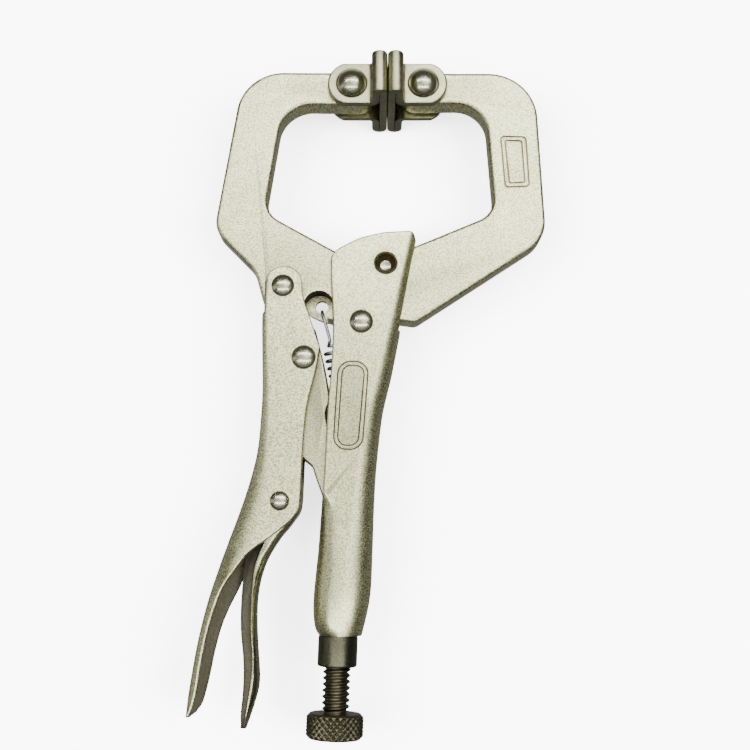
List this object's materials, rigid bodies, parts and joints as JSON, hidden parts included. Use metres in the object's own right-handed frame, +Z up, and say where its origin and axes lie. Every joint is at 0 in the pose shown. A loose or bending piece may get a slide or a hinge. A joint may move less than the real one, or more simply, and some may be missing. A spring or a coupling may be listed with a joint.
{
  "type": "locking c clamp",
  "caption": "Locking C clamp with forged C jaws, swivel pads, pressed channel handles, toggle link, release lever and knurled adjusting screw.",
  "frame": {"origin": "centre of the clamp's outline, closed and locked, on the surface that it lies on with its back face down", "axes": "+Y along the clamp from the adjusting knob to the jaws, +X from the movable jaw to the fixed jaw, +Z up from the back face to the front face, parallel to every pivot"},
  "size_m": [0.0788, 0.1524, 0.0233],
  "materials": {
    "satin_steel": "blasted satin nickel plate, fine speckle",
    "rivet_steel": "smooth satin nickel plate",
    "pad_steel": "smooth semi-bright nickel plate",
    "dark_steel": "dark oiled satin",
    "spring_wire": "bright zinc with a blue cast"
  },
  "bodies": {
    "frame": {"fixed_handle": "satin_steel", "fixed_jaw": "satin_steel", "jaw_pivot_rivet": "rivet_steel", "threaded_bushing": "satin_steel", "fixed_pad_rivet": "rivet_steel", "tension_spring": "spring_wire"},
    "jaw": {"movable_jaw": "satin_steel", "moving_pad_rivet": "rivet_steel"},
    "handle": {"movable_handle": "satin_steel", "handle_rivet": "rivet_steel", "link_rivet": "rivet_steel", "lever_rivet": "rivet_steel"},
    "link": {"toggle_link": "satin_steel"},
    "lever": {"release_lever": "satin_steel"},
    "jaw_pad": {"moving_pad": "pad_steel"},
    "frame_pad": {"fixed_pad": "pad_steel"},
    "screw_nose": {"screw_tip": "dark_steel"},
    "screw": {"adjusting_screw": "dark_steel", "screw_knob": "dark_steel"}
  },
  "joints": [
    {"name": "jaw_open", "type": "hinge", "parent": "frame", "child": "jaw", "pos_m": [-0.0029, 0.01378, 0.01163], "axis": [0, 0, 1], "range_deg": [0, 30], "deforming": ["tension_spring"]},
    {"name": "handle_swing", "type": "hinge", "parent": "jaw", "child": "handle", "pos_m": [-0.0206, 0.02208, 0.01163], "axis": [0, 0, 1], "range_deg": [-80.4, 0]},
    {"name": "link_swing", "type": "hinge", "parent": "handle", "child": "link", "pos_m": [-0.0157, 0.00558, 0.01163], "axis": [0, 0, 1], "range_deg": [0, 79.8]},
    {"name": "lever_press", "type": "hinge", "parent": "handle", "child": "lever", "pos_m": [-0.0205, -0.02622, 0.01163], "axis": [0, 0, 1], "range_deg": [-8, 0]},
    {"name": "moving_pad_swivel", "type": "hinge", "parent": "jaw", "child": "jaw_pad", "pos_m": [-0.0053, 0.07118, 0.01163], "axis": [0, 0, 1], "range_deg": [-18.9, 0]},
    {"name": "fixed_pad_swivel", "type": "hinge", "parent": "frame", "child": "frame_pad", "pos_m": [0.0115, 0.07118, 0.01163], "axis": [0, 0, 1], "range_deg": [0, 11.1]},
    {"name": "screw_travel", "type": "slide", "parent": "frame", "child": "screw_nose", "axis": [-0.0337, -0.9994, 0], "range_m": [0, 0.01001]},
    {"name": "screw_turn", "type": "hinge", "parent": "screw_nose", "child": "screw", "pos_m": [-0.00698, -0.03162, 0.01163], "axis": [-0.0337, -0.9994, 0], "range_deg": [0, 2834.65]}
  ],
  "couplings": [
    {"joint": "handle_swing", "follows": "jaw_open", "ratio": -2.68},
    {"joint": "link_swing", "follows": "jaw_open", "ratio": 2.66},
    {"joint": "moving_pad_swivel", "follows": "jaw_open", "ratio": -0.63},
    {"joint": "fixed_pad_swivel", "follows": "jaw_open", "ratio": 0.37},
    {"joint": "screw_travel", "follows": "screw_turn", "m_per_rad": 0.00020213}
  ]
}
